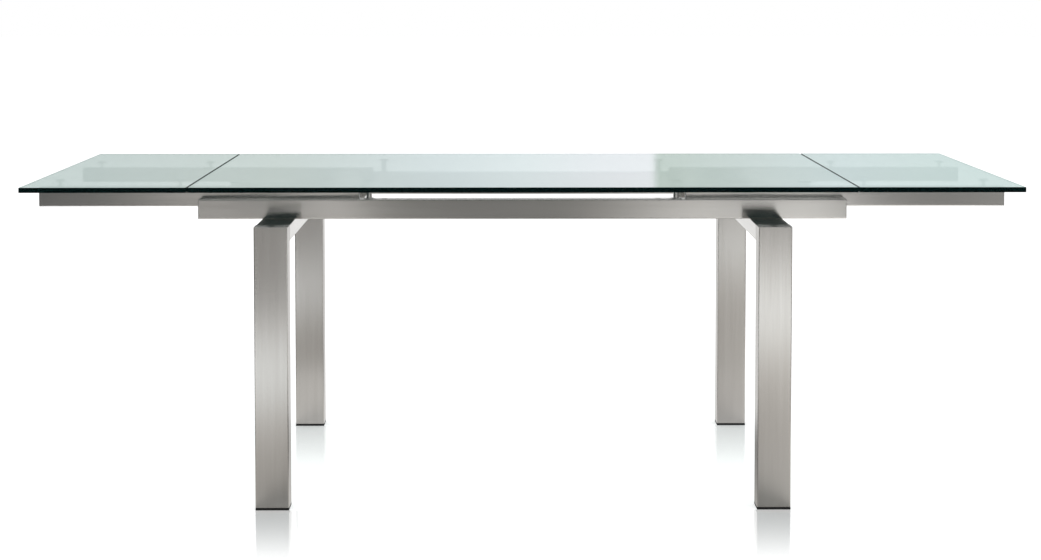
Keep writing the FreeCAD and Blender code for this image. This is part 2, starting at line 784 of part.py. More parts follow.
make_leg_frames()
for end_name, end_sign in ENDS.items():
    make_beam(end_name, end_sign)
make_frame_bolts()
make_centre_supports()
for side_name, side_sign in SIDES.items():
    make_leaf_support(side_name, side_sign)
make_guides()
make_glass()
doc.recompute()
check_document()
write_parts()
print(f"{len(nodes)} nodes, rails travel {rail_travel.value} mm")
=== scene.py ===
import math

import bmesh
import bpy
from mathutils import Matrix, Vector


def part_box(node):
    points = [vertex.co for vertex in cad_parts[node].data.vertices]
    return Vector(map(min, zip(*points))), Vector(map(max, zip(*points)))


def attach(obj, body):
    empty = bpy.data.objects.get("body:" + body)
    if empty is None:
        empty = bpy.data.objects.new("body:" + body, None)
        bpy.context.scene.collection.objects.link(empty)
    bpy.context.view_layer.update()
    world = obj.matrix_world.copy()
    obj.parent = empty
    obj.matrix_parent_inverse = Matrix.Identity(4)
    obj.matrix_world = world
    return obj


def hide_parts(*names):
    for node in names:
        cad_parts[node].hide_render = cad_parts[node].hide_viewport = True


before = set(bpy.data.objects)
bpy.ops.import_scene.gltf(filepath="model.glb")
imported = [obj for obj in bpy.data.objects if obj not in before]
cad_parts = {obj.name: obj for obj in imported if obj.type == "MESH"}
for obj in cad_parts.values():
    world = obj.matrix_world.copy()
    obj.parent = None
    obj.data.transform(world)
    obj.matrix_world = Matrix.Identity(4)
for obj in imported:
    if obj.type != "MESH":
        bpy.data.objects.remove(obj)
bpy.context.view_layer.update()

bl_info = {
    "name": "Extending Glass Table",
    "version": (1, 0, 0),
    "blender": (4, 5, 0),
    "location": "3D View > Sidebar > Table",
    "description": "Finishes and small parts for an extending glass dining table",
    "category": "Object",
}

MM = 0.001
TOUCH = 0.1 * MM           # places closer than this count as one
TUBE_CORNER = 3 * MM       # a weld stops this far short of a tube's rounded corner
PLATE_EDGE = 2 * MM        # and this far short of a plate's edge
SIDES = ("left", "right")
ROUND_STEPS = 48           # corners of a turned circle
SOCKET_DEPTH = 0.6         # of the height of the head it is in
WHITE = (1.0, 1.0, 1.0, 1.0)

# Where things are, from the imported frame
LEG_LOW, LEG_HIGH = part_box("front_left_leg")
CROSS_LOW, CROSS_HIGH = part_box("left_cross_tube")
GLASS_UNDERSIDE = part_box("centre_glass")[0].z


def linear(hex_colour):
    """Linear RGB of an sRGB hex colour."""
    channels = [int(hex_colour[i:i + 2], 16) / 255 for i in (1, 3, 5)]
    return tuple(c / 12.92 if c <= 0.04045 else ((c + 0.055) / 1.055) ** 2.4 for c in channels)


def rgba(colour, shade=1.0):
    """Opaque colour for a socket, darkened by a shade below 1."""
    return (*(channel * shade for channel in colour[:3]), 1.0)


def hex_property(name, description, hex_colour):
    """Colour setting whose default is an sRGB hex value."""
    return bpy.props.FloatVectorProperty(
        name=name, description=description, default=linear(hex_colour),
        subtype="COLOR", size=3, min=0.0, max=1.0)


def length_property(name, description, millimetres):
    """Length setting whose default is given in millimetres."""
    return bpy.props.FloatProperty(
        name=name, description=description, default=millimetres * MM,
        unit="LENGTH", min=0.0, precision=5)


class TableColours(bpy.types.PropertyGroup):
    """Colours of the finishes and the studio."""
    steel: hex_property("Steel", "Brushed stainless steel", "#D1CFCC")
    steel_dull: hex_property("Dulled steel", "Streaks that the brush left duller", "#C3C0BC")
    turned: hex_property("Turned steel", "Posts and discs off the lathe", "#C9C8C5")
    weld: hex_property("Weld", "Cleaned weld beads", "#A8A49D")
    zinc: hex_property("Zinc", "Zinc-plated bolts and screws", "#B4B7B6")
    glass_shade: hex_property("Glass shade", "Light that passes the glass", "#DCE9E6")
    rubber: hex_property("Rubber", "Black glides under the legs", "#121315")
    acetal: hex_property("Acetal", "Black guide shoes", "#1B1C1E")
    cap: hex_property("End plate", "Plates in the ends of the tubes", "#3A3B3C")
    pad: hex_property("Pad", "Clear soft pads under the leaves", "#D9DEDC")
    adhesive: hex_property("Adhesive", "Cured clear adhesive round the discs", "#E6E8DC")
    floor: hex_property("Floor", "Studio floor", "#EDEDED")


class TableSizes(bpy.types.PropertyGroup):
    """Sizes that the finishes and small parts follow."""
    brush_spacing: length_property("Brush spacing", "Between brushed lines", 1.2)
    brush_run: length_property("Brush run", "Length of a brushed line", 160)
    corner_bend: length_property("Corner bend", "Radius over which a tube's corner turns", 2.5)
    lathe_pitch: length_property("Lathe pitch", "Between turning marks", 0.6)
    grain: length_property("Moulded grain", "Texture of the moulded parts", 0.8)
    disc_chamfer: length_property("Disc chamfer", "Broken edge of a turned disc", 0.5)
    pad_round: length_property("Pad round", "Rounded edge of a soft pad", 0.7)
    foot_round: length_property("Foot round", "Rounded edge of a glide", 0.9)
    foot_rim: length_property("Foot rim", "Rim round the hollow of a glide", 5)
    foot_hollow: length_property("Foot hollow", "Depth of the hollow of a glide", 1.5)
    plate_round: length_property("Plate round", "Rounded edge of an end plate", 0.6)
    bolt_head: length_property("Bolt head", "Height of the head of a bolt", 8)
    screw_head: length_property("Screw head", "Height of a countersunk head", 2.2)
    socket_wall: length_property("Socket wall", "Head beside the corner of its socket", 1.6)
    weld_radius: length_property("Weld radius", "Half the width of a weld bead", 1.1)
    weld_step: length_property("Weld step", "Between the ripples of a weld bead", 1.3)
    adhesive_radius: length_property("Adhesive bead", "Half the width of the adhesive", 0.35)


# ---- Node trees ----


def add(tree, kind, inputs=None, **settings):
    """Add a node with its settings, and set or link its inputs.

    An input that is given a node is linked to the first output that the node has in use.
    """
    made = tree.nodes.new(kind)
    for name, value in settings.items():
        setattr(made, name, value)
    for key, value in (inputs or {}).items():
        if isinstance(value, bpy.types.Node):
            value = next(output for output in value.outputs if output.enabled)
        if isinstance(value, bpy.types.NodeSocket):
            tree.links.new(value, made.inputs[key])
        else:
            made.inputs[key].default_value = value
    return made


def new_material(name):
    """Node material with an empty tree, and the tree."""
    material = bpy.data.materials.new(name)
    material.use_nodes = True
    material.node_tree.nodes.clear()
    return material, material.node_tree


def object_position(tree, scale, shift=(0.0, 0.0, 0.0)):
    """Object coordinates, scaled along each axis and shifted."""
    place = add(tree, "ShaderNodeTexCoord")
    return add(tree, "ShaderNodeMapping", {
        "Vector": place.outputs["Object"], "Location": shift, "Scale": scale})


def ramp_over(tree, value, stops):
    """Colour for a value, from (value, colour) stops."""
    low, high = stops[0][0], stops[-1][0]
    share = add(tree, "ShaderNodeMapRange", {
        "Value": value, "From Min": low, "From Max": high})
    node = add(tree, "ShaderNodeValToRGB", {0: share})
    elements = node.color_ramp.elements
    elements[0].color = rgba(stops[0][1])
    elements[-1].color = rgba(stops[-1][1])
    for at, colour in stops[1:-1]:
        elements.new((at - low) / (high - low)).color = rgba(colour)
    return node


def new_geometry_tree(name, sizes):
    """Geometry Nodes tree with one named length input for each size, and its inputs."""
    tree = bpy.data.node_groups.new(name, "GeometryNodeTree")
    tree.interface.new_socket("Geometry", in_out="INPUT", socket_type="NodeSocketGeometry")
    for label, default in sizes.items():
        socket = tree.interface.new_socket(label, in_out="INPUT", socket_type="NodeSocketFloat")
        socket.subtype = "DISTANCE"
        socket.default_value = default
    tree.interface.new_socket("Geometry", in_out="OUTPUT", socket_type="NodeSocketGeometry")
    return tree, add(tree, "NodeGroupInput").outputs


def grown(name, tree, base, sizes):
    """Plain mesh object that a tree makes from a base mesh with the given sizes."""
    obj = bpy.data.objects.new(name, base)
    bpy.context.collection.objects.link(obj)
    modifier = obj.modifiers.new("growth", "NODES")
    modifier.node_group = tree
    for item in tree.interface.items_tree:
        if item.in_out == "INPUT" and item.name in sizes:
            modifier[item.identifier] = sizes[item.name]
    graph = bpy.context.evaluated_depsgraph_get()
    mesh = bpy.data.meshes.new_from_object(obj.evaluated_get(graph))
    obj.modifiers.remove(modifier)
    obj.data = mesh
    if not mesh.polygons:
        raise RuntimeError(f"{name} came out empty")
    return obj


# ---- Finishes ----


def brushed_stainless(name, along, rough_low, rough_high):
    """Brushed 304 stainless tube.

    A belt has left fine lines along the tube, so reflections smear across it, and the surface
    is a soft warm grey with duller streaks. The real lines are about 0.1 mm apart and are drawn
    coarser, so that they show. The corners turn over a small radius, which softens the line
    where two faces meet.
    """
    colours = bpy.context.scene.table_colours
    sizes = bpy.context.scene.table_sizes
    material, tree = new_material(name)
    fine = [1 / sizes.brush_spacing] * 3
    fine[along] = 1 / sizes.brush_run
    # A streak is as wide as 12 lines and as long as 3
    broad = [1 / (sizes.brush_spacing * 12)] * 3
    broad[along] = 1 / (sizes.brush_run * 3)
    lines = add(tree, "ShaderNodeTexNoise", {
        "Vector": object_position(tree, fine), "Scale": 1.0, "Detail": 3.0, "Roughness": 0.6})
    streaks = add(tree, "ShaderNodeTexNoise", {
        "Vector": object_position(tree, broad, (3.1, 1.7, 5.3)), "Scale": 1.0, "Detail": 2.0})
    tone = add(tree, "ShaderNodeMix", {
        0: streaks, 6: rgba(colours.steel), 7: rgba(colours.steel_dull)}, data_type="RGBA")
    sheen = add(tree, "ShaderNodeMapRange", {
        "Value": lines, "From Min": 0.3, "From Max": 0.7,
        "To Min": rough_low, "To Max": rough_high})
    eased = add(tree, "ShaderNodeBevel", {"Radius": sizes.corner_bend}, samples=4)
    bump = add(tree, "ShaderNodeBump", {
        "Height": lines, "Strength": 0.1, "Distance": 0.02 * MM, "Normal": eased})
    across = add(tree, "ShaderNodeTangent", direction_type="RADIAL", axis="XYZ"[along])
    shader = add(tree, "ShaderNodeBsdfPrincipled", {
        "Base Color": tone, "Metallic": 1.0, "Roughness": sheen, "Anisotropic": 0.9,
        "Normal": bump, "Tangent": across})
    add(tree, "ShaderNodeOutputMaterial", {"Surface": shader})
    return material


def turned_stainless():
    """Stainless bar turned on a lathe and polished: bright, with rings round its axis."""
    colours = bpy.context.scene.table_colours
    sizes = bpy.context.scene.table_sizes
    material, tree = new_material("turned_stainless")
    rings = add(tree, "ShaderNodeTexNoise", {
        "Vector": object_position(tree, (2.0, 2.0, 1 / sizes.lathe_pitch)),
        "Scale": 1.0, "Detail": 2.0})
    sheen = add(tree, "ShaderNodeMapRange", {
        "Value": rings, "From Min": 0.3, "From Max": 0.7, "To Min": 0.12, "To Max": 0.26})
    bump = add(tree, "ShaderNodeBump", {
        "Height": rings, "Strength": 0.3, "Distance": 0.03 * MM})
    shader = add(tree, "ShaderNodeBsdfPrincipled", {
        "Base Color": rgba(colours.turned), "Metallic": 1.0, "Roughness": sheen,
        "Normal": bump})
    add(tree, "ShaderNodeOutputMaterial", {"Surface": shader})
    return material


def clouded_metal(name, colour, rough_low, rough_high, cloud):
    """Metal that isn't polished, with a tone and a gloss that drift over a few millimetres."""
    material, tree = new_material(name)
    clouds = add(tree, "ShaderNodeTexNoise", {
        "Vector": object_position(tree, [1 / cloud] * 3), "Scale": 1.0, "Detail": 4.0})
    tone = add(tree, "ShaderNodeMix", {
        0: clouds, 6: rgba(colour, 0.75), 7: rgba(colour)}, data_type="RGBA")
    sheen = add(tree, "ShaderNodeMapRange", {
        "Value": clouds, "To Min": rough_low, "To Max": rough_high})
    shader = add(tree, "ShaderNodeBsdfPrincipled", {
        "Base Color": tone, "Metallic": 1.0, "Roughness": sheen})
    add(tree, "ShaderNodeOutputMaterial", {"Surface": shader})
    return material


def zinc_plated_steel():
    """Cold-headed steel with bright zinc plating: a cloudy, slightly blue metal."""
    colour = bpy.context.scene.table_colours.zinc
    return clouded_metal("zinc_plated_steel", colour, 0.22, 0.5, 2.5 * MM)


def weld_stainless():
    """Stainless weld bead, pickled clean: matt and a little darker than the tube beside it."""
    colour = bpy.context.scene.table_colours.weld
    return clouded_metal("pickled_weld_stainless", colour, 0.4, 0.6, 4 * MM)


def moulded(name, colour, rough_low, rough_high, depth):
    """Moulded plastic or rubber: an even colour with a fine pebbled grain from the mould."""
    material, tree = new_material(name)
    frequency = 1 / bpy.context.scene.table_sizes.grain
    grain = add(tree, "ShaderNodeTexNoise", {
        "Vector": object_position(tree, [frequency] * 3), "Scale": 1.0, "Detail": 3.0})
    tone = add(tree, "ShaderNodeMix", {
        0: grain, 6: rgba(colour, 0.8), 7: rgba(colour)}, data_type="RGBA")
    sheen = add(tree, "ShaderNodeMapRange", {
        "Value": grain, "To Min": rough_low, "To Max": rough_high})
    bump = add(tree, "ShaderNodeBump", {"Height": grain, "Strength": 0.4, "Distance": depth})
    shader = add(tree, "ShaderNodeBsdfPrincipled", {
        "Base Color": tone, "Roughness": sheen, "Normal": bump})
    add(tree, "ShaderNodeOutputMaterial", {"Surface": shader})
    return material


def moulded_rubber():
    """Hard black rubber: matt, so that a glide hardly catches the light."""
    colour = bpy.context.scene.table_colours.rubber
    return moulded("moulded_rubber", colour, 0.55, 0.75, 0.2 * MM)


def moulded_polypropylene():
    """Dark grey polypropylene: a satin plate that closes a tube without drawing the eye."""
    colour = bpy.context.scene.table_colours.cap
    return moulded("moulded_polypropylene", colour, 0.4, 0.55, 0.1 * MM)


def moulded_acetal():
    """Black acetal: slippery, with the waxy gloss of a bearing."""
    colour = bpy.context.scene.table_colours.acetal
    return moulded("moulded_acetal", colour, 0.3, 0.45, 0.05 * MM)


def clear_polymer(name, colour, rough_low, rough_high):
    """Clear soft plastic or adhesive: it passes light and blurs it unevenly."""
    material, tree = new_material(name)
    frequency = 1 / bpy.context.scene.table_sizes.grain
    haze = add(tree, "ShaderNodeTexNoise", {
        "Vector": object_position(tree, [frequency] * 3), "Scale": 1.0, "Detail": 2.0})
    sheen = add(tree, "ShaderNodeMapRange", {
        "Value": haze, "To Min": rough_low, "To Max": rough_high})
    shader = add(tree, "ShaderNodeBsdfPrincipled", {
        "Base Color": rgba(colour), "Roughness": sheen, "Transmission Weight": 0.8,
        "IOR": 1.49})
    add(tree, "ShaderNodeOutputMaterial", {"Surface": shader})
    return material


def moulded_clear_vinyl():
    """Soft clear vinyl: a milky disc between steel and glass."""
    colour = bpy.context.scene.table_colours.pad
    return clear_polymer("moulded_clear_vinyl", colour, 0.25, 0.4)


def cured_clear_adhesive():
    """Adhesive cured by light: clear and glossy, with a faint yellow tinge."""
    colour = bpy.context.scene.table_colours.adhesive
    return clear_polymer("cured_clear_adhesive", colour, 0.05, 0.15)


def float_glass():
    """Toughened 12 mm float glass with polished edges.

    The iron in it takes a little red, so the faces are a pale green-blue. The edges are looked
    at through the whole depth of the panel and are nearly black: their reflection is dimmed, and
    a painted shade of deep green stands in for the light lost through that depth. Furnace rollers
    have left a very slight waviness. The faces have a thin hard coat, which mirrors more at a
    low angle. Shadow rays pass, so that it shades as glass does.
    """
    material, tree = new_material("toughened_float_glass")
    wave = add(tree, "ShaderNodeTexNoise", {
        "Vector": object_position(tree, (4.0, 3.0, 4.0)), "Scale": 1.0, "Detail": 0.0})
    rollers = add(tree, "ShaderNodeBump", {
        "Height": wave, "Strength": 0.15, "Distance": 0.2 * MM})
    place = add(tree, "ShaderNodeNewGeometry")
    facing = add(tree, "ShaderNodeSeparateXYZ", {0: place.outputs["True Normal"]})
    upward = add(tree, "ShaderNodeMath", {0: facing.outputs["Z"]}, operation="ABSOLUTE")
    face = add(tree, "ShaderNodeMath", {0: upward, 1: 0.9}, operation="GREATER_THAN")
    # Painted shade: the edges reflect only about an eighth as much as the faces
    tint = add(tree, "ShaderNodeMix", {
        0: face, 6: (0.12, 0.12, 0.12, 1.0), 7: WHITE}, data_type="RGBA")
    glass = add(tree, "ShaderNodeBsdfPrincipled", {
        "Base Color": WHITE, "Transmission Weight": 1.0, "IOR": 1.52, "Roughness": 0.0,
        "Specular Tint": tint, "Normal": rollers})
    coat = add(tree, "ShaderNodeBsdfGlossy", {
        "Color": WHITE, "Roughness": 0.0, "Normal": rollers})
    outer = add(tree, "ShaderNodeMath", {0: face, 1: place.outputs["Backfacing"]},
                operation="SUBTRACT", use_clamp=True)
    low_angle = add(tree, "ShaderNodeFresnel", {"IOR": 1.5})
    share = add(tree, "ShaderNodeMath", {0: outer, 1: low_angle}, operation="MULTIPLY")
    coated = add(tree, "ShaderNodeMixShader", {0: share, 1: glass, 2: coat})
    # Painted shade: a nearly black green laid over most of each edge, for the light lost through
    # the panel's depth
    painted_edge_shade = add(tree, "ShaderNodeBsdfDiffuse", {"Color": (0.0025, 0.0098, 0.0095, 1.0)})
    depth = add(tree, "ShaderNodeMath", {0: face, 1: -0.7, 2: 0.7}, operation="MULTIPLY_ADD")
    edged = add(tree, "ShaderNodeMixShader", {0: depth, 1: coated, 2: painted_edge_shade})
    shade = add(tree, "ShaderNodeBsdfTransparent", {
        "Color": rgba(bpy.context.scene.table_colours.glass_shade)})
    path = add(tree, "ShaderNodeLightPath")
    passing = add(tree, "ShaderNodeMath", {
        0: path.outputs["Is Shadow Ray"], 1: path.outputs["Is Diffuse Ray"]},
        operation="MAXIMUM")
    surface = add(tree, "ShaderNodeMixShader", {0: passing, 1: edged, 2: shade})
    body = add(tree, "ShaderNodeVolumeAbsorption", {
        "Color": (0.4, 0.53, 0.54, 1.0), "Density": 10.0})
    add(tree, "ShaderNodeOutputMaterial", {"Surface": surface, "Volume": body})
    return material


# ---- Pieces ----


def finish_nodes(names, material):
    """Put one material on carried-over nodes."""
    for name in names:
        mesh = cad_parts[name].data
        mesh.materials.clear()
        mesh.materials.append(material)


def nodes_ending(*endings):
    """Names of the carried-over nodes with one of these endings, in order."""
    return sorted(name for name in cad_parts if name.endswith(endings))


def body_of_node(name):
    """Moving part that a node belongs to."""
    for side in SIDES:
        if name.startswith(side) and ("_rail" in name or "_leaf_" in name or "_tie_" in name):
            return f"{side}_rails"
    return "frame"


def solids_of(name):
    """Vertex positions of each loose solid of a carried-over node."""
    mesh = bmesh.new()
    mesh.from_mesh(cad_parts[name].data)
    bmesh.ops.remove_doubles(mesh, verts=mesh.verts, dist=0.01 * MM)
    mesh.verts.index_update()
    reached = set()
    found = []
    for start in mesh.verts:
        if start.index in reached:
            continue
        reached.add(start.index)
        waiting = [start]
        points = []
        while waiting:
            vertex = waiting.pop()
            points.append(vertex.co.copy())
            for edge in vertex.link_edges:
                other = edge.other_vert(vertex)
                if other.index not in reached:
                    reached.add(other.index)
                    waiting.append(other)
        found.append(points)
    mesh.free()
    return found


def corners(points):
    """Lowest and highest corner of some points."""
    low = Vector([min(point[i] for point in points) for i in range(3)])
    high = Vector([max(point[i] for point in points) for i in range(3)])
    return low, high


def settle(obj, body, slot, *replaced):
    """Fix a finished piece to its body, and let it stand for the nodes that it replaces."""
    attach(obj, body)
    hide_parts(*replaced)


def mesh_object(name, mesh, material):
    """Object with the mesh that was built in a bmesh."""
    bmesh.ops.recalc_face_normals(mesh, faces=mesh.faces)
    data = bpy.data.meshes.new(name)
    mesh.to_mesh(data)
    mesh.free()
    data.materials.append(material)
    obj = bpy.data.objects.new(name, data)
    bpy.context.collection.objects.link(obj)
    return obj


def add_turned(mesh, profile, middle):
    """Turn a closed outline of (radius, height) points round an upright axis."""
    rings = []
    for radius, height in profile:
        if radius == 0.0:
            rings.append([mesh.verts.new((middle.x, middle.y, height))])
            continue
        ring = []
        for step in range(ROUND_STEPS):
            angle = 2 * math.pi * step / ROUND_STEPS
            ring.append(mesh.verts.new((middle.x + radius * math.cos(angle),
                                        middle.y + radius * math.sin(angle), height)))
        rings.append(ring)
    for lower, upper in zip(rings, rings[1:]):
        for step in range(ROUND_STEPS):
            following = (step + 1) % ROUND_STEPS
            face = [lower[step % len(lower)], lower[following % len(lower)],
                    upper[following % len(upper)], upper[step % len(upper)]]
            mesh.faces.new(list(dict.fromkeys(face)))


def disc_outline(low, high, edge, steps):
    """Outline of a disc whose rims are rounded, or chamfered with one step."""
    radius = (high.x - low.x) / 2
    outline = [(0.0, low.z)]
    for start, height in ((-90, low.z + edge), (0, high.z - edge)):
        for step in range(steps + 1):
            angle = math.radians(start + 90 * step / steps)
            outline.append((radius - edge + edge * math.cos(angle),
                            height + edge * math.sin(angle)))
    outline.append((0.0, high.z))
    return outline


def turned_discs(node, material, edge, steps, slot):
    """Discs in place of a node's plain ones, with finished rims."""
    mesh = bmesh.new()
    for points in solids_of(node):
        low, high = corners(points)
        add_turned(mesh, disc_outline(low, high, edge, steps), (low + high) / 2)
    obj = mesh_object(f"{node}_finished", mesh, material)
    settle(obj, body_of_node(node), slot, node)


def add_block(mesh, low, high, rounding):
    """Block between two corners with rounded edges."""
    made = bmesh.ops.create_cube(mesh, size=1.0)["verts"]
    for vertex in made:
        for i in range(3):
            vertex.co[i] = low[i] if vertex.co[i] < 0 else high[i]
    edges = list({edge for vertex in made for edge in vertex.link_edges})
    bmesh.ops.bevel(mesh, geom=edges, offset=rounding, segments=3, profile=0.5,
                    affect="EDGES")


def glide(node, material):
    """Moulded glide: rounded rims, a shallow hollow underneath and a plug up inside the leg."""
    sizes = bpy.context.scene.table_sizes
    low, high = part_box(node)
    mesh = bmesh.new()
    add_block(mesh, low, (high.x, high.y, LEG_LOW.z), sizes.foot_round)
    sole = max((face for face in mesh.faces if face.normal.z < -0.99),
               key=lambda face: face.calc_area())
    bmesh.ops.inset_region(mesh, faces=[sole], thickness=sizes.foot_rim)
    bmesh.ops.inset_region(mesh, faces=[sole], thickness=sizes.foot_hollow / 2,
                           depth=-sizes.foot_hollow)
    plug = [point for points in solids_of(node) for point in points
            if point.z > high.z - TOUCH]
    plug_low, plug_high = corners(plug)
    add_block(mesh, (plug_low.x, plug_low.y, LEG_LOW.z - sizes.foot_round), plug_high,
              sizes.foot_round)
    settle(mesh_object(f"{node}_glide", mesh, material), "frame", "foot", node)


def end_plates(node, material):
    """Plates in the ends of a tube, with rounded rims."""
    mesh = bmesh.new()
    for points in solids_of(node):
        low, high = corners(points)
        add_block(mesh, low, high, bpy.context.scene.table_sizes.plate_round)
    obj = mesh_object(f"{node}_plates", mesh, material)
    settle(obj, body_of_node(node), "cap", node)


def points_mesh(name, spots):
    """Base mesh with one point for each (place, drive direction)."""
    mesh = bpy.data.meshes.new(name)
    mesh.from_pydata([place for place, direction in spots], [], [])
    drive = mesh.attributes.new("drive", "FLOAT_VECTOR", "POINT")
    for item, (place, direction) in zip(drive.data, spots):
        item.vector = direction
    return mesh


def along_drive(tree):
    """Rotation that turns +Z along the drive direction of a point."""
    drive = add(tree, "GeometryNodeInputNamedAttribute", {"Name": "drive"},
                data_type="FLOAT_VECTOR")
    return add(tree, "FunctionNodeAlignRotationToVector", {"Vector": drive}, axis="Z")


def set_out(tree, instances, material):
    """Finish a tree: put the instances on their points and make them real."""
    placed = add(tree, "GeometryNodeInstanceOnPoints", instances)
    real = add(tree, "GeometryNodeRealizeInstances", {"Geometry": placed})
    painted = add(tree, "GeometryNodeSetMaterial", {"Geometry": real, "Material": material})
    add(tree, "NodeGroupOutput", {0: painted})


def driven_from(points):
    """Middle of a fastener's head, and the direction in which the fastener is driven."""
    low, high = corners(points)
    middle = (low + high) / 2
    size = high - low
    axis = max(range(3), key=lambda i: size[i])
    reach = []
    for end in (low[axis], high[axis]):
        rim = [point - middle for point in points if abs(point[axis] - end) < TOUCH]
        reach.append(max(sum(offset[i] ** 2 for i in range(3) if i != axis)
                         for offset in rim))
    direction = Vector((0.0, 0.0, 0.0))
    direction[axis] = 1.0 if reach[0] > reach[1] else -1.0
    return middle - direction * (size[axis] / 2), direction


def countersunk_head(tree, given):
    """Head that tapers to its shank."""
    return add(tree, "GeometryNodeMeshCone", {
        "Vertices": 32, "Radius Top": given["Shank Radius"],
        "Radius Bottom": given["Head Radius"], "Depth": given["Head Height"]})


def cap_head(tree, given):
    """Round head whose outer rim is drawn in to a chamfer."""
    centred = add(tree, "GeometryNodeMeshCylinder", {
        "Vertices": 32, "Side Segments": 8, "Radius": given["Head Radius"],
        "Depth": given["Head Height"]})
    place = add(tree, "GeometryNodeInputPosition")
    height = add(tree, "ShaderNodeSeparateXYZ", {0: place})
    near_end = add(tree, "ShaderNodeMath", {0: given["Head Height"], 1: -0.49},
                   operation="MULTIPLY")
    rim = add(tree, "ShaderNodeMath", {0: near_end, 1: height.outputs["Z"]},
              operation="GREATER_THAN")
    drawn_in = add(tree, "ShaderNodeVectorMath", {0: place, 1: (0.88, 0.88, 1.0)},
                   operation="MULTIPLY")
    chamfered = add(tree, "GeometryNodeSetPosition", {
        "Geometry": centred, "Selection": rim, "Position": drawn_in})
    half = add(tree, "ShaderNodeMath", {0: given["Head Height"], 1: 0.5},
               operation="MULTIPLY")
    lift = add(tree, "ShaderNodeCombineXYZ", {"Z": half})
    return add(tree, "GeometryNodeTransform", {"Geometry": chamfered, "Translation": lift})


def fastener_tree(name, sizes, material, make_head):
    """Tree that grows a hex socket screw on each point, head first along +Z."""
    tree, given = new_geometry_tree(name, sizes)
    head = make_head(tree, given)
    twice = add(tree, "ShaderNodeMath", {0: given["Socket Depth"], 1: 2.0},
                operation="MULTIPLY")
    key = add(tree, "GeometryNodeMeshCylinder", {
        "Vertices": 6, "Radius": given["Socket Radius"], "Depth": twice})
    recessed = add(tree, "GeometryNodeMeshBoolean", {"Mesh 1": head, "Mesh 2": key},
                   operation="DIFFERENCE")
    shank = add(tree, "GeometryNodeMeshCylinder", {
        "Vertices": 24, "Radius": given["Shank Radius"], "Depth": given["Shank Length"]})
    middle = add(tree, "ShaderNodeMath", {
        0: given["Shank Length"], 1: 0.5, 2: given["Head Height"]}, operation="MULTIPLY_ADD")
    down = add(tree, "ShaderNodeCombineXYZ", {"Z": middle})
    below = add(tree, "GeometryNodeTransform", {"Geometry": shank, "Translation": down})
    whole = add(tree, "GeometryNodeJoinGeometry")
    for part in (recessed, below):
        tree.links.new(part.outputs[0], whole.inputs[0])
    set_out(tree, {"Points": given["Geometry"], "Instance": whole,
                   "Rotation": along_drive(tree)}, material)
    return tree


def fasteners(node, material, make_head, head_height):
    """Grow a node's fasteners with hex sockets, in the sizes of its solids."""
    solids = solids_of(node)
    head, direction = driven_from(solids[0])
    offsets = [point - head for point in solids[0]]
    along = [offset.dot(direction) for offset in offsets]
    out = [(offset - direction * depth).length for offset, depth in zip(offsets, along)]
    length = max(along)
    sizes = {
        "Head Radius": max(out),
        "Head Height": head_height,
        "Shank Radius": max(r for r, depth in zip(out, along) if depth > length - TOUCH),
        "Shank Length": length - head_height,
        "Socket Radius": max(out) - bpy.context.scene.table_sizes.socket_wall,
        "Socket Depth": head_height * SOCKET_DEPTH,
    }
    tree = fastener_tree(f"{node}_tree", sizes, material, make_head)
    heads = points_mesh(f"{node}_heads", [driven_from(points) for points in solids])
    settle(grown(f"{node}_socketed", tree, heads, sizes), "frame", "fastener", node)


def bead_tree(sizes, material):
    """Tree that lays an uneven, rippled weld bead along each edge of its base."""
    tree, given = new_geometry_tree("weld_beads", sizes)
    curve = add(tree, "GeometryNodeMeshToCurve", {"Mesh": given["Geometry"]})
    steps = add(tree, "GeometryNodeResampleCurve", {
        "Curve": curve, "Length": given["Ripple Step"]}, mode="LENGTH")
    ripple = add(tree, "GeometryNodeMeshIcoSphere", {
        "Radius": given["Bead Radius"], "Subdivisions": 2})
    uneven = add(tree, "FunctionNodeRandomValue", {2: 0.85, 3: 1.0, "Seed": 7},
                 data_type="FLOAT")
    set_out(tree, {"Points": steps, "Instance": ripple, "Scale": uneven}, material)
    return tree


def lines_mesh(name, lines):
    """Base mesh with one edge for each (start, end) line."""
    mesh = bpy.data.meshes.new(name)
    ends = [end for line in lines for end in line]
    mesh.from_pydata(ends, [(i, i + 1) for i in range(0, len(ends), 2)], [])
    return mesh


def frame_weld_lines(inset):
    """Under each cross tube, where its ends meet the two legs."""
    lines = []
    for mirror in (-1, 1):
        for y in (CROSS_LOW.y + inset, CROSS_HIGH.y - inset):
            lines.append([(mirror * abs(x), y, CROSS_LOW.z)
                          for x in (CROSS_LOW.x + TUBE_CORNER, CROSS_HIGH.x - TUBE_CORNER)])
    return lines


def hanger_weld_lines(side, inset):
    """Along the upright edges of both tie hangers, on the rails, and across the tie bar's ends."""
    rail_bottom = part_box(f"{side}_front_rail")[0].z
    bar_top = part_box(f"{side}_tie_bar")[1].z
    lines = []
    for points in solids_of(f"{side}_tie_hangers"):
        low, high = corners(points)
        outer, inner, inward = (low.y, high.y, inset) if low.y < 0 else (high.y, low.y, -inset)
        for x in (low.x, high.x):
            lines.append([(x, outer + inward, rail_bottom + TUBE_CORNER),
                          (x, outer + inward, high.z - PLATE_EDGE)])
        lines.append([(low.x + PLATE_EDGE, inner + inward, bar_top),
                      (high.x - PLATE_EDGE, inner + inward, bar_top)])
    return lines


def ring_tree(sizes, material):
    """Tree that lays a thin ring of adhesive round each point."""
    tree, given = new_geometry_tree("adhesive_rings", sizes)
    path = add(tree, "GeometryNodeCurvePrimitiveCircle", {
        "Resolution": 64, "Radius": given["Ring Radius"]})
    bead = add(tree, "GeometryNodeCurvePrimitiveCircle", {
        "Resolution": 8, "Radius": given["Bead Radius"]})
    ring = add(tree, "GeometryNodeCurveToMesh", {"Curve": path, "Profile Curve": bead})
    set_out(tree, {"Points": given["Geometry"], "Instance": ring,
                   "Rotation": along_drive(tree)}, material)
    return tree


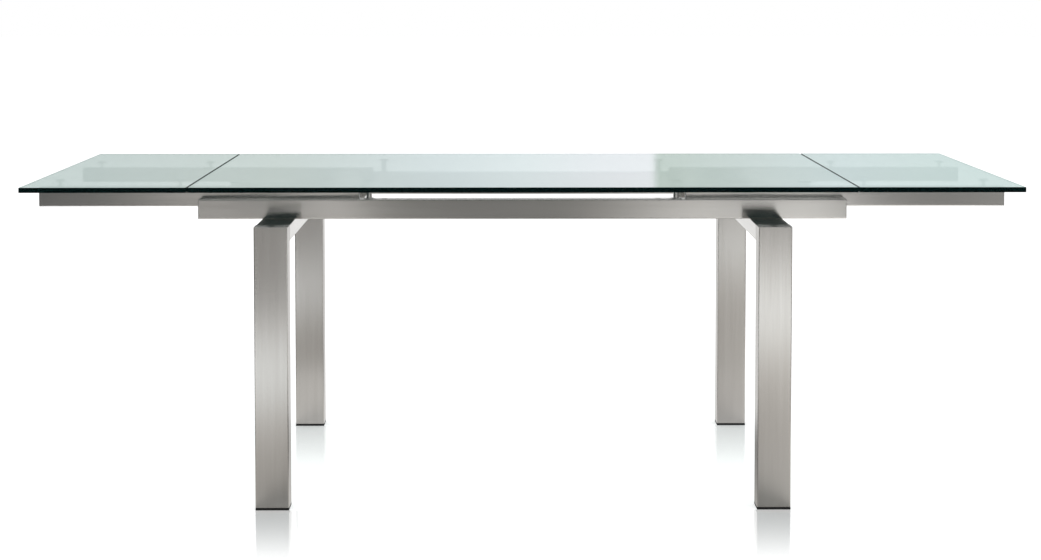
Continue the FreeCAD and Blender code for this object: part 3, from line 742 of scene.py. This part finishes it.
def adhesive_rings(material):
    """Squeezed-out adhesive between the bonded discs and the centre glass."""
    bead = bpy.context.scene.table_sizes.adhesive_radius
    boxes = [corners(points) for points in solids_of("centre_bond_discs")]
    spots = [(((low.x + high.x) / 2, (low.y + high.y) / 2, GLASS_UNDERSIDE - bead),
              (0.0, 0.0, 1.0)) for low, high in boxes]
    low, high = boxes[0]
    sizes = {"Ring Radius": (high.x - low.x) / 2, "Bead Radius": bead}
    obj = grown("centre_disc_adhesive", ring_tree(sizes, material),
                points_mesh("adhesive_spots", spots), sizes)
    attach(obj, "frame")


class TABLE_OT_steelwork(bpy.types.Operator):
    """Brush the tubes along their length and turn the posts"""
    bl_idname = "table.steelwork"
    bl_label = "Steelwork"

    def execute(self, context):
        for run, along, rough_low, rough_high, endings in (
                ("upright", 2, 0.23, 0.26, ("_leg",)),
                ("lengthwise", 0, 0.12, 0.16, ("_beam", "_rail", "_brackets")),
                ("crosswise", 1, 0.23, 0.26, ("_cross_tube", "_tie_bar", "_hangers"))):
            finish_nodes(nodes_ending(*endings), brushed_stainless(
                f"brushed_stainless_{run}", along, rough_low, rough_high))
        turned = turned_stainless()
        finish_nodes(nodes_ending("_post", "_discs"), turned)
        chamfer = context.scene.table_sizes.disc_chamfer
        for node in nodes_ending("_discs"):
            turned_discs(node, turned, chamfer, 1, "post")
        return {"FINISHED"}


class TABLE_OT_welds(bpy.types.Operator):
    """Lay the weld beads of the leg frames and the tie hangers"""
    bl_idname = "table.welds"
    bl_label = "Welds"

    def execute(self, context):
        radius = context.scene.table_sizes.weld_radius
        sizes = {"Bead Radius": radius, "Ripple Step": context.scene.table_sizes.weld_step}
        tree = bead_tree(sizes, weld_stainless())
        inset = radius * 0.3
        lines = {"frame": frame_weld_lines(inset)}
        for side in SIDES:
            lines[f"{side}_rails"] = hanger_weld_lines(side, inset)
        for body, ends in lines.items():
            base = lines_mesh(f"{body}_weld_lines", ends)
            obj = grown(f"{body}_weld_beads", tree, base, sizes)
            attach(obj, body)
        return {"FINISHED"}


class TABLE_OT_fasteners(bpy.types.Operator):
    """Grow the bolts and screws with their sockets"""
    bl_idname = "table.fasteners"
    bl_label = "Bolts and screws"

    def execute(self, context):
        sizes = context.scene.table_sizes
        zinc = zinc_plated_steel()
        finish_nodes(["frame_bolts", "frame_nuts", "guide_screws"], zinc)
        fasteners("frame_bolts", zinc, cap_head, sizes.bolt_head)
        fasteners("guide_screws", zinc, countersunk_head, sizes.screw_head)
        return {"FINISHED"}


class TABLE_OT_mouldings(bpy.types.Operator):
    """Finish the moulded feet, guides, end plates and pads"""
    bl_idname = "table.mouldings"
    bl_label = "Mouldings"

    def execute(self, context):
        rubber = moulded_rubber()
        plate = moulded_polypropylene()
        vinyl = moulded_clear_vinyl()
        finish_nodes(nodes_ending("_guide"), moulded_acetal())
        finish_nodes(nodes_ending("_foot"), rubber)
        for node in nodes_ending("_foot"):
            glide(node, rubber)
        finish_nodes(nodes_ending("_end_caps"), plate)
        for node in nodes_ending("_end_caps"):
            end_plates(node, plate)
        finish_nodes(nodes_ending("_pads"), vinyl)
        for node in nodes_ending("_pads"):
            turned_discs(node, vinyl, context.scene.table_sizes.pad_round, 4, "pad")
        adhesive_rings(cured_clear_adhesive())
        return {"FINISHED"}


class TABLE_OT_glass(bpy.types.Operator):
    """Finish the three glass panels"""
    bl_idname = "table.glass"
    bl_label = "Glass"

    def execute(self, context):
        finish_nodes(nodes_ending("_glass"), float_glass())
        return {"FINISHED"}


# ---- Studio ----

# Every soft edge on the floor and the walls has a place where it begins and one where it is
# complete.

# The floor mirrors each foot in a strip that starts at the foot's front face: the place of that
# face and the share of the mirror, for the front and the rear feet
STRIPS = ((LEG_LOW.y, 0.56), (-LEG_HIGH.y, 0.37))
STRIP_LENGTH = 640 * MM                 # over which the share fades out
STRIP_LEAN = 0.12                       # of the length, towards the middle of the table
STRIP_SIDES = (67.6 * MM, 46.8 * MM)    # soft edge, from the middle of the strip
# Near each foot the floor is painted dark, for the foot's contact shadow and its mirror image
CONTACT_REACH = 24 * MM                 # of a foot's contact shadow

# Painted light that the floor gives off towards metal only, by the distance from a slanted
# line in front of the table: its slope over x and its shift
POOL_LINE = (0.64, 2.6)
POOL_STOPS = (
    (-2.2, (0.64, 0.63, 0.61)),
    (-1.5, (0.82, 0.81, 0.79)),
    (-1.0, (1.02, 1.01, 0.995)),
    (-0.5, (1.22, 1.235, 1.235)),
    (0.0, (1.33, 1.37, 1.385)),
    (0.4, (1.10, 1.12, 1.12)),
    (0.8, (0.74, 0.725, 0.70)),
    (1.2, (0.56, 0.545, 0.52)),
    (1.8, (0.48, 0.465, 0.445)),
    (2.4, (0.54, 0.53, 0.51)),
    (3.6, (0.66, 0.65, 0.64)),
)
# How strong that painted pool is across the room: its middle is painted darker, as if a
# viewer's stand shaded it, and its right brighter, as if a lamp stood there
POOL_SHARES = (
    (-2.0, 0.80),
    (-0.9, 1.10),
    (-0.6, 1.16),
    (-0.4, 0.64),
    (-0.2, 0.42),
    (0.2, 0.42),
    (0.42, 0.70),
    (0.6, 1.22),
    (0.7, 1.32),
    (0.8, 1.50),
    (0.95, 1.86),
    (1.26, 2.10),
    (1.45, 1.20),
    (1.6, 0.50),
    (2.0, 0.40),
)
# Painted light off the floor further away, by its bearing from the table. Its two painted
# black gaps put the dark reflections into the beam above the legs.
ROOM_STOPS = (
    (-0.60, (0.16, 0.16, 0.16)),
    (-0.44, (0.24, 0.24, 0.24)),
    (-0.34, (0.25, 0.246, 0.24)),
    (-0.29, (0.84, 0.82, 0.795)),
    (-0.248, (1.22, 1.20, 1.165)),
    (-0.242, (0.0, 0.0, 0.0)),
    (-0.196, (0.0, 0.0, 0.0)),
    (-0.190, (1.62, 1.60, 1.565)),
    (-0.18, (1.62, 1.60, 1.565)),
    (-0.15, (0.54, 0.53, 0.51)),
    (-0.11, (0.37, 0.365, 0.35)),
    (-0.05, (0.36, 0.355, 0.345)),
    (0.0, (0.37, 0.365, 0.355)),
    (0.04, (0.40, 0.395, 0.38)),
    (0.08, (0.47, 0.46, 0.44)),
    (0.14, (0.60, 0.59, 0.57)),
    (0.172, (0.84, 0.825, 0.80)),
    (0.178, (0.0, 0.0, 0.0)),
    (0.222, (0.0, 0.0, 0.0)),
    (0.228, (0.80, 0.79, 0.765)),
    (0.25, (0.52, 0.51, 0.495)),
    (0.28, (0.22, 0.216, 0.21)),
    (0.31, (0.06, 0.059, 0.057)),
    (0.38, (0.34, 0.335, 0.325)),
    (0.43, (0.80, 0.79, 0.77)),
    (0.60, (1.40, 1.40, 1.38)),
)
# Painted light beside the lamp and behind the pool on the left, and painted dark where the
# floor is left unlit
LAMP_LIGHT = (1.40, 1.39, 1.36, 1.0)
REAR_LEFT_LIGHT = (0.80, 0.79, 0.77, 1.0)
UNLIT = (0.02, 0.03, 0.03, 1.0)
# Light from the wall beyond the table, by its direction, as polished glass shows it
WALL_STOPS = (
    (-0.26, (0.50, 0.60, 0.58)),
    (-0.20, (0.53, 0.62, 0.60)),
    (-0.12, (0.55, 0.634, 0.605)),
    (-0.076, (0.587, 0.675, 0.667)),
    (-0.035, (0.642, 0.733, 0.742)),
    (0.007, (0.725, 0.813, 0.822)),
    (0.048, (0.794, 0.84, 0.867)),
    (0.0745, (0.82, 0.858, 0.886)),
    (0.0785, (0.50, 0.60, 0.55)),
    (0.13, (0.565, 0.66, 0.642)),
    (0.172, (0.611, 0.725, 0.725)),
    (0.212, (0.603, 0.733, 0.716)),
    (0.26, (0.58, 0.72, 0.70)),
)
CEILING = (0.14, 0.16, 0.16, 1.0)
SIDE_WALLS = (0.05, 0.06, 0.06, 1.0)
BEHIND_VIEWER = (0.03, 0.045, 0.045, 1.0)
OPEN_ROOM = (0.8, 0.8, 0.8, 1.0)

# Lamps: name, place, width and power
LAMPS = (
    ("key_light", (3.6, -3.0, 3.4), 2.5, 40.0),
    ("fill_light", (-4.0, -2.0, 3.0), 3.0, 20.0),
    ("top_light", (0.0, 0.5, 4.0), 3.0, 15.0),
)
LAMP_TARGET = (0.0, 0.0, 0.5)
FLOOR_REACH = 40.0


def polish_and_shadow(tree, x, y):
    """Where the floor is polished, and where a foot's painted contact shadow lies on the polish.
    """
    half_width = (LEG_HIGH.x - LEG_LOW.x) / 2
    across = add(tree, "ShaderNodeMath", {0: x}, operation="ABSOLUTE")
    strips = []
    shadows = []
    for front, share in STRIPS:
        away = add(tree, "ShaderNodeMath", {0: front, 1: y}, operation="SUBTRACT")
        leaning = add(tree, "ShaderNodeMath", {
            0: away, 1: STRIP_LEAN, 2: (LEG_LOW.x + LEG_HIGH.x) / 2}, operation="MULTIPLY_ADD")
        offset = add(tree, "ShaderNodeMath", {0: across, 1: leaning}, operation="ADD")
        beside = add(tree, "ShaderNodeMath", {0: offset}, operation="ABSOLUTE")
        distance = add(tree, "ShaderNodeMath", {0: away}, operation="ABSOLUTE")
        near = add(tree, "ShaderNodeMath", {0: distance, 1: CONTACT_REACH},
                   operation="LESS_THAN")
        for parts, amount, edges in (
                (strips, share, ((away, -2 * MM, 0.0), (away, STRIP_LENGTH, 0.0),
                                 (beside, *STRIP_SIDES))),
                (shadows, near, ((beside, half_width, half_width - 1 * MM),))):
            for value, begins, complete in edges:
                edge = add(tree, "ShaderNodeMapRange", {
                    "Value": value, "From Min": begins, "From Max": complete},
                    interpolation_type="SMOOTHSTEP")
                amount = add(tree, "ShaderNodeMath", {0: amount, 1: edge},
                             operation="MULTIPLY")
            parts.append(amount)
    return [add(tree, "ShaderNodeMath", {0: front, 1: rear}, operation="MAXIMUM")
            for front, rear in (strips, shadows)]


def painted_light_for_metal(tree, x, y):
    """Painted light that the floor sends to metal only: a bright pool in front of the table, and
    dim parts.
    """
    slope, shift = POOL_LINE
    slanted = add(tree, "ShaderNodeMath", {0: x, 1: slope, 2: shift}, operation="MULTIPLY_ADD")
    from_line = add(tree, "ShaderNodeMath", {0: y, 1: slanted}, operation="ADD")
    forward = add(tree, "ShaderNodeMath", {0: y, 1: -1.0}, operation="MULTIPLY")
    ahead = add(tree, "ShaderNodeMath", {0: forward, 1: 0.1}, operation="MAXIMUM")
    bearing = add(tree, "ShaderNodeMath", {0: x, 1: ahead}, operation="DIVIDE")
    leftward = add(tree, "ShaderNodeMath", {0: x, 1: -1.0}, operation="MULTIPLY")
    depth = add(tree, "ShaderNodeMath", {0: y}, operation="ABSOLUTE")
    aside = add(tree, "ShaderNodeMath", {0: depth, 1: -0.35, 2: leftward},
                operation="MULTIPLY_ADD")
    edges = {}
    for name, value, begins, complete in (
            ("past pool", from_line, -0.6, -1.8),
            ("behind pool", from_line, 1.5, 1.9),
            ("left", x, 0.0, -0.4),
            ("right", x, 0.2, 0.9),
            ("in front of lamp", y, -5.9, -5.3),
            ("far left", aside, 0.9, 1.1),
            ("far ahead", y, -9.0, -12.0),
            ("behind table", y, 0.1, 0.6)):
        edges[name] = add(tree, "ShaderNodeMapRange", {
            "Value": value, "From Min": begins, "From Max": complete},
            interpolation_type="SMOOTHSTEP")
    by_lamp = add(tree, "ShaderNodeMath", {0: edges["right"], 1: edges["in front of lamp"]},
                  operation="MULTIPLY")
    rear_left = add(tree, "ShaderNodeMath", {0: edges["behind pool"], 1: edges["left"]},
                    operation="MULTIPLY")
    unlit = add(tree, "ShaderNodeMath", {0: edges["far left"], 1: edges["far ahead"]},
                operation="MAXIMUM")
    shares = [(at, (share, share, share)) for at, share in POOL_SHARES]
    light = add(tree, "ShaderNodeMix", {
        0: 1.0, 6: ramp_over(tree, from_line, POOL_STOPS), 7: ramp_over(tree, x, shares)},
        data_type="RGBA", blend_type="MULTIPLY")
    room = add(tree, "ShaderNodeMix", {
        0: by_lamp, 6: ramp_over(tree, bearing, ROOM_STOPS), 7: LAMP_LIGHT}, data_type="RGBA")
    for share, colour in ((rear_left, REAR_LEFT_LIGHT), (edges["past pool"], room),
                          (unlit, UNLIT), (edges["behind table"], WHITE)):
        light = add(tree, "ShaderNodeMix", {0: share, 6: light, 7: colour}, data_type="RGBA")
    return light


def studio_floor_material():
    """White acrylic sheet, polished in front of the feet, where it mirrors them.

    It is white to the eye and through glass, and keeps a faint shadow. Metal sees painted
    light on it: a glowing pool, as from one lamp on the right, and painted dark parts. Near each
    foot a contact shadow is painted on the polish.
    """
    material, tree = new_material("white_acrylic_sheet")
    centred = add(tree, "ShaderNodeTexCoord").outputs["Object"]
    place = add(tree, "ShaderNodeSeparateXYZ", {0: centred}).outputs
    path = add(tree, "ShaderNodeLightPath").outputs
    seen = add(tree, "ShaderNodeMath", {
        0: path["Is Camera Ray"], 1: path["Is Transmission Ray"]}, operation="MAXIMUM")
    diffuse = add(tree, "ShaderNodeBsdfDiffuse", {
        "Color": rgba(bpy.context.scene.table_colours.floor)})
    lift = add(tree, "ShaderNodeMath", {0: seen, 1: 0.52}, operation="MULTIPLY")
    glow = add(tree, "ShaderNodeEmission", {"Strength": lift})
    matte = add(tree, "ShaderNodeAddShader", {0: diffuse, 1: glow})
    # Painted light: reflections see the floor glow with the painted pool and dark parts, not the
    # floor lit by the lamps
    unseen = add(tree, "ShaderNodeMath", {0: path["Is Glossy Ray"], 1: seen},
                 operation="SUBTRACT")
    mirrored = add(tree, "ShaderNodeMath", {0: unseen, 1: 0.5}, operation="GREATER_THAN")
    painted_glow = add(tree, "ShaderNodeEmission", {
        "Color": painted_light_for_metal(tree, place["X"], place["Y"])})
    dull = add(tree, "ShaderNodeMixShader", {0: mirrored, 1: matte, 2: painted_glow})
    gloss = add(tree, "ShaderNodeBsdfGlossy", {"Color": WHITE, "Roughness": 0.08})
    # Painted shade: a dark matt patch near each foot, for its contact shadow and its mirror image
    painted_contact_shadow = add(tree, "ShaderNodeBsdfDiffuse", {"Color": (0.1, 0.09, 0.08, 1.0)})
    polished, shadow = polish_and_shadow(tree, place["X"], place["Y"])
    sheet = add(tree, "ShaderNodeMixShader", {0: shadow, 1: gloss, 2: painted_contact_shadow})
    surface = add(tree, "ShaderNodeMixShader", {0: polished, 1: dull, 2: sheet})
    add(tree, "ShaderNodeOutputMaterial", {"Surface": surface})
    return material


def studio_world():
    """White room. Its walls and ceiling have darker parts that only reflections show."""
    world = bpy.data.worlds.new("studio")
    world.use_nodes = True
    tree = world.node_tree
    tree.nodes.clear()
    around = add(tree, "ShaderNodeTexCoord").outputs["Generated"]
    direction = add(tree, "ShaderNodeSeparateXYZ", {0: around}).outputs
    depth = add(tree, "ShaderNodeMath", {0: direction["Y"]}, operation="ABSOLUTE")
    azimuth = add(tree, "ShaderNodeMath", {0: direction["X"], 1: depth}, operation="ARCTAN2")
    turned = add(tree, "ShaderNodeMath", {0: azimuth}, operation="ABSOLUTE")
    edges = {}
    for name, value, begins, complete in (
            ("above wall", direction["Z"], 0.14, 0.17),
            ("ceiling", direction["Z"], 0.34, 0.45),
            ("ceiling through glass", direction["Z"], 0.3, 0.4),
            ("overhead", direction["Z"], 0.5, 0.65),
            ("sides", turned, 0.6, 1.0),
            ("behind viewer", direction["Y"], 0.05, -0.05)):
        edges[name] = add(tree, "ShaderNodeMapRange", {
            "Value": value, "From Min": begins, "From Max": complete},
            interpolation_type="SMOOTHSTEP")
    reflected = ramp_over(tree, azimuth, WALL_STOPS)
    for name, colour in (("above wall", WHITE), ("ceiling", CEILING), ("sides", SIDE_WALLS),
                         ("behind viewer", BEHIND_VIEWER), ("overhead", WHITE)):
        reflected = add(tree, "ShaderNodeMix", {0: edges[name], 6: reflected, 7: colour},
                        data_type="RGBA")
    passed = WHITE
    for name, colour in (("ceiling through glass", CEILING),
                         ("behind viewer", BEHIND_VIEWER)):
        passed = add(tree, "ShaderNodeMix", {0: edges[name], 6: passed, 7: colour},
                     data_type="RGBA")
    path = add(tree, "ShaderNodeLightPath").outputs
    light = OPEN_ROOM
    for ray, colour in (("Is Glossy Ray", reflected), ("Is Transmission Ray", passed),
                        ("Is Camera Ray", WHITE)):
        light = add(tree, "ShaderNodeMix", {0: path[ray], 6: light, 7: colour},
                    data_type="RGBA")
    everything = add(tree, "ShaderNodeBackground", {"Color": light})
    add(tree, "ShaderNodeOutputWorld", {"Surface": everything})
    bpy.context.scene.world = world


def studio_floor():
    """Wide level floor."""
    mesh = bpy.data.meshes.new("studio_floor")
    outline = [(x * FLOOR_REACH, y * FLOOR_REACH, 0.0)
               for x, y in ((-1, -1), (1, -1), (1, 1), (-1, 1))]
    mesh.from_pydata(outline, [], [(0, 1, 2, 3)])
    mesh.materials.append(studio_floor_material())
    floor = bpy.data.objects.new("studio_floor", mesh)
    bpy.context.collection.objects.link(floor)


def area_light(name, place, width, power):
    """Square soft light that faces the table."""
    data = bpy.data.lights.new(name, "AREA")
    data.shape = "SQUARE"
    data.size = width
    data.energy = power
    light = bpy.data.objects.new(name, data)
    light.location = place
    aim = Vector(LAMP_TARGET) - Vector(place)
    light.rotation_euler = aim.to_track_quat("-Z", "Y").to_euler()
    bpy.context.collection.objects.link(light)


def studio_camera():
    """Camera at a standing viewer's height, with its lens shifted down to the table."""
    data = bpy.data.cameras.new("camera")
    data.sensor_width = 36.0
    data.lens = 66.9
    data.shift_y = -0.1826
    data.clip_end = 200.0
    camera = bpy.data.objects.new("camera", data)
    camera.location = (-0.0369, -4.8873, 1.2164)
    camera.rotation_euler = (math.radians(90) - 0.0541, 0.0, -0.0069)
    bpy.context.collection.objects.link(camera)
    bpy.context.scene.camera = camera


class TABLE_OT_studio(bpy.types.Operator):
    """Lay the floor and set up the lights and the camera"""
    bl_idname = "table.studio"
    bl_label = "Studio"

    def execute(self, context):
        studio_floor()
        studio_world()
        for lamp in LAMPS:
            area_light(*lamp)
        studio_camera()
        context.scene.view_settings.view_transform = "Standard"
        return {"FINISHED"}


OPERATORS = (
    TABLE_OT_steelwork,
    TABLE_OT_welds,
    TABLE_OT_fasteners,
    TABLE_OT_mouldings,
    TABLE_OT_glass,
    TABLE_OT_studio,
)


class TABLE_PT_sidebar(bpy.types.Panel):
    """List the steps and settings"""
    bl_label = "Table"
    bl_idname = "TABLE_PT_sidebar"
    bl_space_type = "VIEW_3D"
    bl_region_type = "UI"
    bl_category = "Table"

    def draw(self, context):
        layout = self.layout
        for group in (context.scene.table_sizes, context.scene.table_colours):
            for name in group.__annotations__:
                layout.prop(group, name)
        for operator in OPERATORS:
            layout.operator(operator.bl_idname)


CLASSES = (TableColours, TableSizes) + OPERATORS + (TABLE_PT_sidebar,)


def register():
    for item in CLASSES:
        bpy.utils.register_class(item)
    bpy.types.Scene.table_colours = bpy.props.PointerProperty(type=TableColours)
    bpy.types.Scene.table_sizes = bpy.props.PointerProperty(type=TableSizes)


def unregister():
    del bpy.types.Scene.table_sizes
    del bpy.types.Scene.table_colours
    for item in reversed(CLASSES):
        bpy.utils.unregister_class(item)


def main():
    """Run every step in order."""
    register()
    for operator in OPERATORS:
        getattr(bpy.ops.table, operator.bl_idname.split(".")[1])()


if __name__ == "__main__":
    main()
